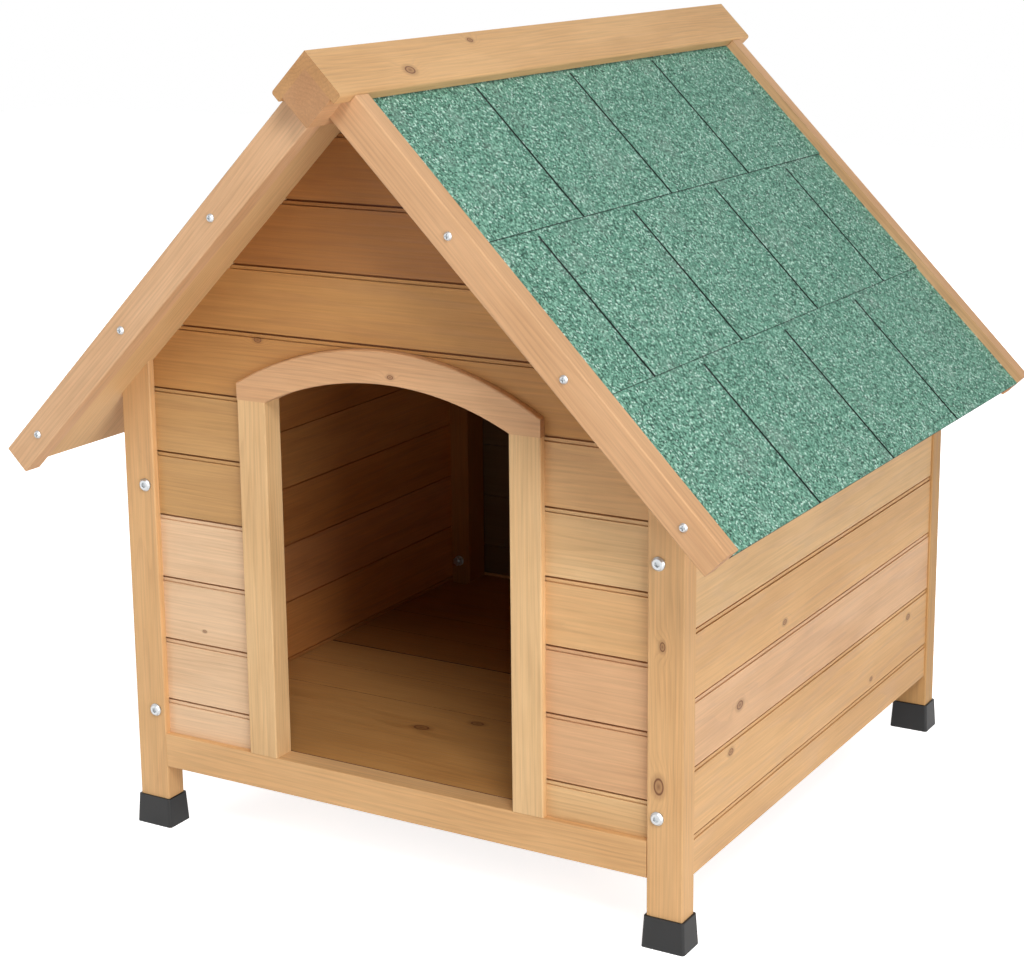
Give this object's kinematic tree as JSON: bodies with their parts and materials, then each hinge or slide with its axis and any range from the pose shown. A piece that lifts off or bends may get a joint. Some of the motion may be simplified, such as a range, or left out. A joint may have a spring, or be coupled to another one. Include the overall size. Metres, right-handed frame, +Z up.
{
  "type": "dog house",
  "caption": "Gabled wooden dog house on booted posts, with tongue-and-groove walls, an arched doorway, a tabbed felt roof with barge boards and ridge cap, and a lift-out floor.",
  "frame": {"origin": "on the ground, under the middle of the whole roof", "axes": "+Z up; -Y out of the doorway; +X to the right of someone who faces the doorway"},
  "size_m": [0.78, 0.843, 0.809],
  "materials": {
    "frame_wood": "honey stained softwood, satin",
    "wall_boards": "honey stained softwood, satin",
    "inner_wood": "planed softwood, thin stain",
    "deck_board": "stained sheet, matte",
    "green_felt": "bitumen felt with green mineral granules, matte",
    "bitumen_felt": "black bitumen underlay, matte",
    "foot_rubber": "black moulded, satin",
    "zinc_steel": "zinc plated"
  },
  "bodies": {
    "house": {"barge_board_front_left": "frame_wood", "barge_board_front_right": "frame_wood", "barge_board_rear_left": "frame_wood", "barge_board_rear_right": "frame_wood", "barge_screws": "zinc_steel", "corner_bolts": "zinc_steel", "corner_cleats": "inner_wood", "corner_nuts": "zinc_steel", "door_header": "frame_wood", "door_jamb_left": "frame_wood", "door_jamb_right": "frame_wood", "felt_underlay": "bitumen_felt", "floor_bearers": "inner_wood", "foot_cap_front_left": "foot_rubber", "foot_cap_front_right": "foot_rubber", "foot_cap_rear_left": "foot_rubber", "foot_cap_rear_right": "foot_rubber", "front_board_1": "wall_boards", "front_board_10": "wall_boards", "front_board_11": "wall_boards", "front_board_2": "wall_boards", "front_board_3": "wall_boards", "front_board_4": "wall_boards", "front_board_5": "wall_boards", "front_board_6": "wall_boards", "front_board_7": "wall_boards", "front_board_8": "wall_boards", "front_board_9": "wall_boards", "front_sill_rail": "frame_wood", "post_front_left": "frame_wood", "post_front_right": "frame_wood", "post_rear_left": "frame_wood", "post_rear_right": "frame_wood", "rear_boards": "wall_boards", "rear_rail": "frame_wood", "ridge_beam": "frame_wood", "ridge_cap_left": "frame_wood", "ridge_cap_right": "frame_wood", "roof_deck_left": "deck_board", "roof_deck_right": "deck_board", "roof_felt_left": "green_felt", "roof_felt_right": "green_felt", "side_board_left_1": "wall_boards", "side_board_left_2": "wall_boards", "side_board_left_3": "wall_boards", "side_board_left_4": "wall_boards", "side_board_left_5": "wall_boards", "side_board_left_6": "wall_boards", "side_board_left_7": "wall_boards", "side_board_right_1": "wall_boards", "side_board_right_2": "wall_boards", "side_board_right_3": "wall_boards", "side_board_right_4": "wall_boards", "side_board_right_5": "wall_boards", "side_board_right_6": "wall_boards", "side_board_right_7": "wall_boards"},
    "floor_front": {"floor_planks_front": "inner_wood", "floor_battens_front": "inner_wood"},
    "floor_rear": {"floor_planks_rear": "inner_wood", "floor_battens_rear": "inner_wood"}
  },
  "joints": [
    {"name": "floor_front_lift", "type": "slide", "parent": "house", "child": "floor_front", "axis": [0, 0, 1], "range_m": [0, 0.12]},
    {"name": "floor_rear_lift", "type": "slide", "parent": "house", "child": "floor_rear", "axis": [0, 0, 1], "range_m": [0, 0.12]}
  ]
}
